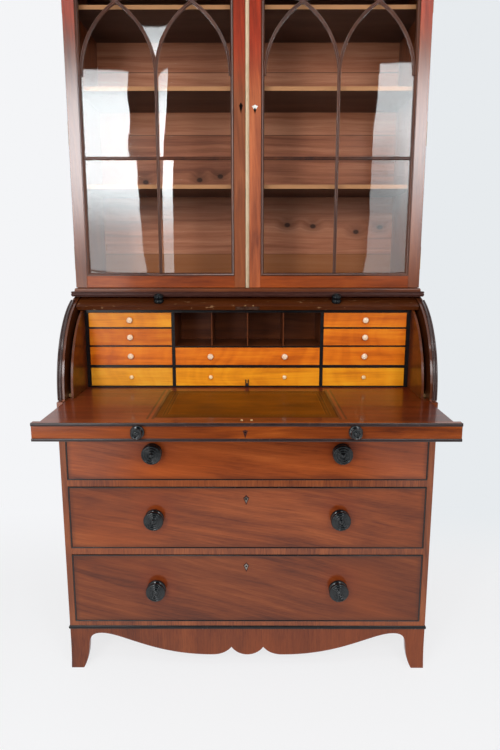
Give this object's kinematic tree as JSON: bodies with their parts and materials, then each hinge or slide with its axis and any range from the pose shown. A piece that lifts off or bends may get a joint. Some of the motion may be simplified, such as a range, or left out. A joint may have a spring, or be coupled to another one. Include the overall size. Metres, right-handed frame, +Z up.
{
  "type": "cylinder desk",
  "caption": "Antique mahogany cylinder bureau bookcase with a roll-back cylinder fall, pull-out leather writing slide, fitted nest, long drawers and glazed Gothic doors.",
  "frame": {"origin": "centre of the bounding box on the floor, with the writing slide pulled out as at rest", "axes": "+Z up, -Y towards the person at the desk, +X to that person's right"},
  "size_m": [1.026, 0.7512, 1.986],
  "materials": {
    "mahogany": "french polished, figured",
    "ebonised": "black stained and polished",
    "satinwood": "polished, golden",
    "pine": "aged, waxed",
    "old_glass": "clear, slightly uneven",
    "brass": "aged, worn bright",
    "iron": "blackened",
    "skiver": "waxed, tooled border"
  },
  "bodies": {
    "case": {"side_left": "mahogany", "side_right": "mahogany", "case_back": "pine", "drawer_rails": "mahogany", "case_mouldings": "ebonised", "aprons": "mahogany", "bracket_feet": "mahogany", "desk_top": "mahogany", "nest_boards": "mahogany", "nest_edging": "ebonised", "runner_blocks": "pine", "arch_lips": "ebonised", "bookcase_sides": "mahogany", "bookcase_ends": "mahogany", "bookcase_back": "pine", "shelves": "pine", "cornice": "mahogany"},
    "cylinder": {"cylinder_shell": "mahogany", "cylinder_rail": "mahogany", "cylinder_knobs": "ebonised", "cylinder_fittings": "iron"},
    "slide": {"slide_board": "mahogany", "slide_leather": "skiver", "slide_fascia": "mahogany", "slide_strips": "ebonised", "slide_knobs": "ebonised", "slide_lock": "brass"},
    "drawer_1": {"drawer_1_front": "mahogany", "drawer_1_beads": "ebonised", "drawer_1_box": "pine", "drawer_1_knobs": "ebonised", "drawer_1_lock": "brass"},
    "drawer_2": {"drawer_2_front": "mahogany", "drawer_2_beads": "ebonised", "drawer_2_box": "pine", "drawer_2_knobs": "ebonised", "drawer_2_lock": "brass"},
    "drawer_3": {"drawer_3_front": "mahogany", "drawer_3_beads": "ebonised", "drawer_3_box": "pine", "drawer_3_knobs": "ebonised", "drawer_3_lock": "brass"},
    "nest_left_1_drawer": {"nest_left_1": "satinwood"},
    "nest_left_2_drawer": {"nest_left_2": "satinwood"},
    "nest_left_3_drawer": {"nest_left_3": "satinwood"},
    "nest_right_1_drawer": {"nest_right_1": "satinwood"},
    "nest_right_2_drawer": {"nest_right_2": "satinwood"},
    "nest_right_3_drawer": {"nest_right_3": "satinwood"},
    "nest_centre_drawer": {"nest_centre": "satinwood"},
    "nest_low_left_drawer": {"nest_low_left": "satinwood"},
    "nest_low_centre_drawer": {"nest_low_centre": "satinwood"},
    "nest_low_right_drawer": {"nest_low_right": "satinwood"},
    "door_left": {"door_left_frame": "mahogany", "door_left_glass": "old_glass", "door_left_bars": "mahogany", "door_left_brass": "brass"},
    "door_right": {"door_right_frame": "mahogany", "door_right_glass": "old_glass", "door_right_bars": "mahogany", "door_right_brass": "brass"}
  },
  "joints": [
    {"name": "cylinder_turn", "type": "hinge", "parent": "case", "child": "cylinder", "pos_m": [0, 0.1239, 0.7905], "axis": [-1, 0, 0], "range_deg": [-66.3, 0]},
    {"name": "slide_run", "type": "slide", "parent": "case", "child": "slide", "axis": [0, -1, 0], "range_m": [-0.184, 0]},
    {"name": "drawer_1_run", "type": "slide", "parent": "case", "child": "drawer_1", "axis": [0, -1, 0], "range_m": [0, 0.33]},
    {"name": "drawer_2_run", "type": "slide", "parent": "case", "child": "drawer_2", "axis": [0, -1, 0], "range_m": [0, 0.33]},
    {"name": "drawer_3_run", "type": "slide", "parent": "case", "child": "drawer_3", "axis": [0, -1, 0], "range_m": [0, 0.33]},
    {"name": "nest_left_1_run", "type": "slide", "parent": "case", "child": "nest_left_1_drawer", "axis": [0, -1, 0], "range_m": [0, 0.11]},
    {"name": "nest_left_2_run", "type": "slide", "parent": "case", "child": "nest_left_2_drawer", "axis": [0, -1, 0], "range_m": [0, 0.11]},
    {"name": "nest_left_3_run", "type": "slide", "parent": "case", "child": "nest_left_3_drawer", "axis": [0, -1, 0], "range_m": [0, 0.11]},
    {"name": "nest_right_1_run", "type": "slide", "parent": "case", "child": "nest_right_1_drawer", "axis": [0, -1, 0], "range_m": [0, 0.11]},
    {"name": "nest_right_2_run", "type": "slide", "parent": "case", "child": "nest_right_2_drawer", "axis": [0, -1, 0], "range_m": [0, 0.11]},
    {"name": "nest_right_3_run", "type": "slide", "parent": "case", "child": "nest_right_3_drawer", "axis": [0, -1, 0], "range_m": [0, 0.11]},
    {"name": "nest_centre_run", "type": "slide", "parent": "case", "child": "nest_centre_drawer", "axis": [0, -1, 0], "range_m": [0, 0.11]},
    {"name": "nest_low_left_run", "type": "slide", "parent": "case", "child": "nest_low_left_drawer", "axis": [0, -1, 0], "range_m": [0, 0.11]},
    {"name": "nest_low_centre_run", "type": "slide", "parent": "case", "child": "nest_low_centre_drawer", "axis": [0, -1, 0], "range_m": [0, 0.11]},
    {"name": "nest_low_right_run", "type": "slide", "parent": "case", "child": "nest_low_right_drawer", "axis": [0, -1, 0], "range_m": [0, 0.11]},
    {"name": "door_left_swing", "type": "hinge", "parent": "case", "child": "door_left", "pos_m": [-0.4934, 0.0744, 1.48], "axis": [0, 0, -1], "range_deg": [0, 105]},
    {"name": "door_right_swing", "type": "hinge", "parent": "case", "child": "door_right", "pos_m": [0.4934, 0.0744, 1.48], "axis": [0, 0, 1], "range_deg": [0, 105]}
  ]
}
